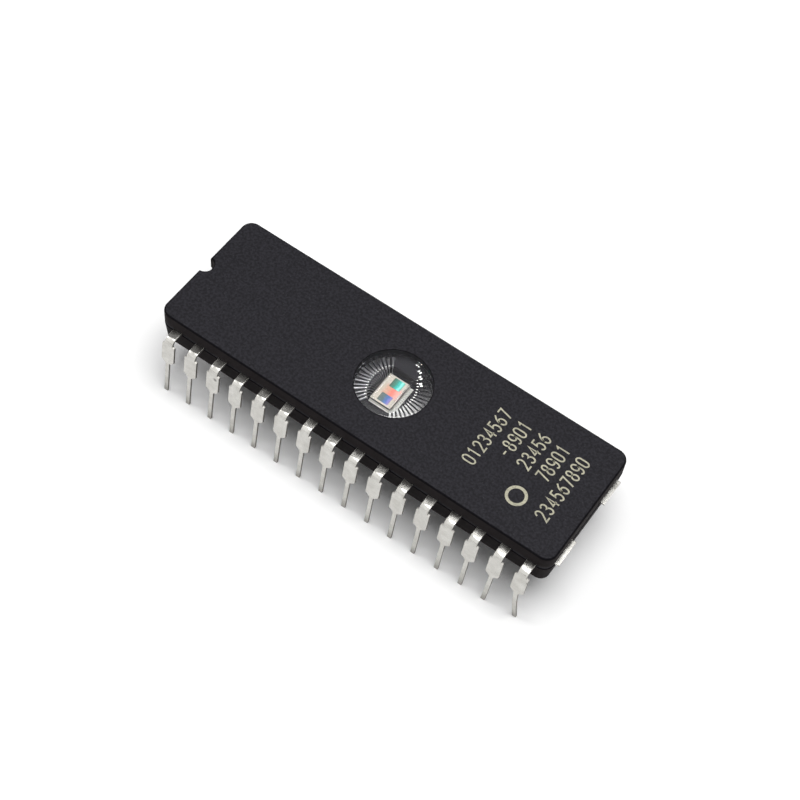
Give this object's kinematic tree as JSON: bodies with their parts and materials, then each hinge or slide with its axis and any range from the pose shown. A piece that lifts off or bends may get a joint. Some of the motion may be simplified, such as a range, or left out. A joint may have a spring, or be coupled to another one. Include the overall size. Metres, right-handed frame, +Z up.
{
  "type": "eprom chip",
  "caption": "Black ceramic dual in-line memory package with a round quartz window over the die and two rows of splayed, tinned leads.",
  "frame": {"origin": "middle of the footprint of the whole part, on the plane of the pin tips", "axes": "+Z up out of the lid; +X along the rows, away from the end with the notch; +Y across the rows, towards leads 17 to 32"},
  "size_m": [0.0422, 0.0174, 0.0087],
  "materials": {
    "ceramic": "matt black pressed alumina",
    "seal_glass": "dark opaque solder glass",
    "window_glass": "clear polished window glass",
    "silicon": "polished silicon with coloured oxide blocks",
    "die_attach": "dull gold-coloured attach layer",
    "lead_metal": "satin tin over nickel-iron strip"
  },
  "bodies": {
    "root": {"ceramic_base": "ceramic", "ceramic_lid": "ceramic", "seal_glass": "seal_glass", "window": "window_glass", "die": "silicon", "die_attach": "die_attach", "lead_01": "lead_metal", "lead_02": "lead_metal", "lead_03": "lead_metal", "lead_04": "lead_metal", "lead_05": "lead_metal", "lead_06": "lead_metal", "lead_07": "lead_metal", "lead_08": "lead_metal", "lead_09": "lead_metal", "lead_10": "lead_metal", "lead_11": "lead_metal", "lead_12": "lead_metal", "lead_13": "lead_metal", "lead_14": "lead_metal", "lead_15": "lead_metal", "lead_16": "lead_metal", "lead_17": "lead_metal", "lead_18": "lead_metal", "lead_19": "lead_metal", "lead_20": "lead_metal", "lead_21": "lead_metal", "lead_22": "lead_metal", "lead_23": "lead_metal", "lead_24": "lead_metal", "lead_25": "lead_metal", "lead_26": "lead_metal", "lead_27": "lead_metal", "lead_28": "lead_metal", "lead_29": "lead_metal", "lead_30": "lead_metal", "lead_31": "lead_metal", "lead_32": "lead_metal"}
  },
  "joints": []
}
